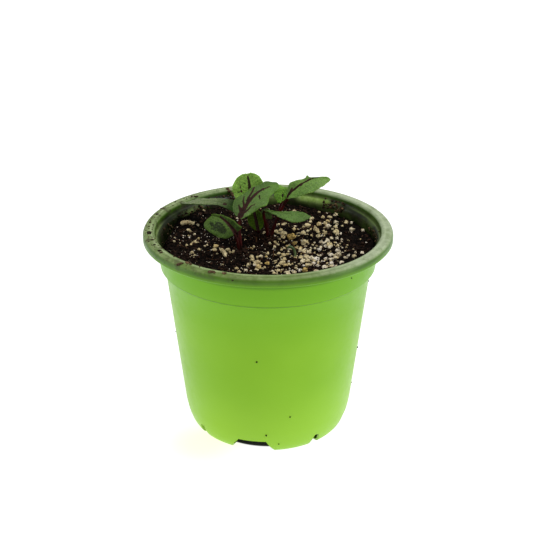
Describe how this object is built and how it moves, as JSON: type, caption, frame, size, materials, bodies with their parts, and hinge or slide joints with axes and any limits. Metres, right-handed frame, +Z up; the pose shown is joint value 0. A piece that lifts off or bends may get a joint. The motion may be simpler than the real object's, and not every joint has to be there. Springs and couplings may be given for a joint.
{
  "type": "potted sorrel",
  "caption": "Young red-veined sorrel plants in a thin round green plastic nursery pot with a rolled rim, a stepped collar and drain notches.",
  "frame": {"origin": "on the pot's axis, in the plane of its foot", "axes": "+Z up along the pot's axis; the side that the picture shows faces -Y"},
  "size_m": [0.114, 0.114, 0.1194],
  "materials": {
    "pot_plastic": "thin moulded lime-green plastic with a soft gloss, darker and dusty at the rim and inside",
    "potting_mix": "moist dark peat and bark with pale perlite and vermiculite grains",
    "leaf_green": "soft mid-green leaf with dark maroon veins",
    "stalk_red": "smooth dark red leaf stalk",
    "sprout_green": "young pale green seedling"
  },
  "bodies": {
    "root": {"pot": "pot_plastic", "soil": "potting_mix", "stalks_left": "stalk_red", "stalks_middle": "stalk_red", "stalks_right": "stalk_red", "back_round_blade": "leaf_green", "centre_blade": "leaf_green", "arching_blade": "leaf_green", "right_blade": "leaf_green", "low_right_blade": "leaf_green", "low_left_blade": "leaf_green", "young_blade": "leaf_green", "tucked_blade": "leaf_green", "rim_leaf_blade": "leaf_green", "sprout": "sprout_green"}
  },
  "joints": []
}
